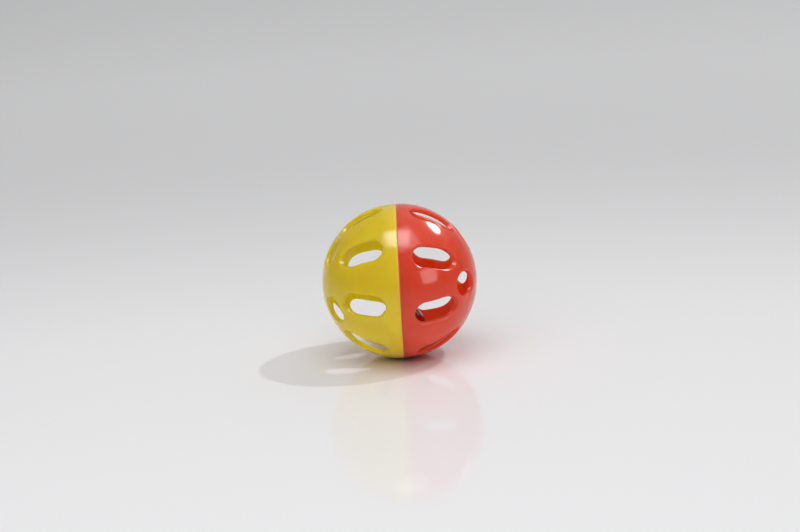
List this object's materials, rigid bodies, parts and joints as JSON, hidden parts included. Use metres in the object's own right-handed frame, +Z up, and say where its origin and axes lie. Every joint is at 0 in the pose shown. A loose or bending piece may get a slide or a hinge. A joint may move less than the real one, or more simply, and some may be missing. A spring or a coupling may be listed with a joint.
{
  "type": "rodent bell ball",
  "caption": "Hollow pierced plastic ball in yellow and red halves with a loose jingle bell inside, a rolling toy for small pets.",
  "frame": {"origin": "centre of the ball, on the seam plane", "axes": "+X along the pole axis towards the red half, +Z up, the picture looks along +Y from the -Y side"},
  "size_m": [0.04, 0.04, 0.04],
  "materials": {
    "yellow_plastic": "glossy, slightly translucent",
    "red_plastic": "glossy, slightly translucent",
    "bell_plate": "bright nickel plate",
    "loop_wire": "drawn wire",
    "pellet_steel": "dull steel"
  },
  "bodies": {
    "ball": {"yellow_half_shell": "yellow_plastic", "red_half_shell": "red_plastic"},
    "bell": {"bell_dome": "bell_plate", "bell_cup": "bell_plate", "bell_loop": "loop_wire"},
    "pellet": {"bell_pellet": "pellet_steel"}
  },
  "joints": [
    {"name": "bell_roll", "type": "hinge", "parent": "ball", "child": "bell", "pos_m": [0, 0, 0], "axis": [1, 0, 0], "continuous": true},
    {"name": "pellet_roll", "type": "hinge", "parent": "bell", "child": "pellet", "pos_m": [0, 0, -0.0125], "axis": [1, 0, 0], "range_deg": [-145, 145]}
  ]
}
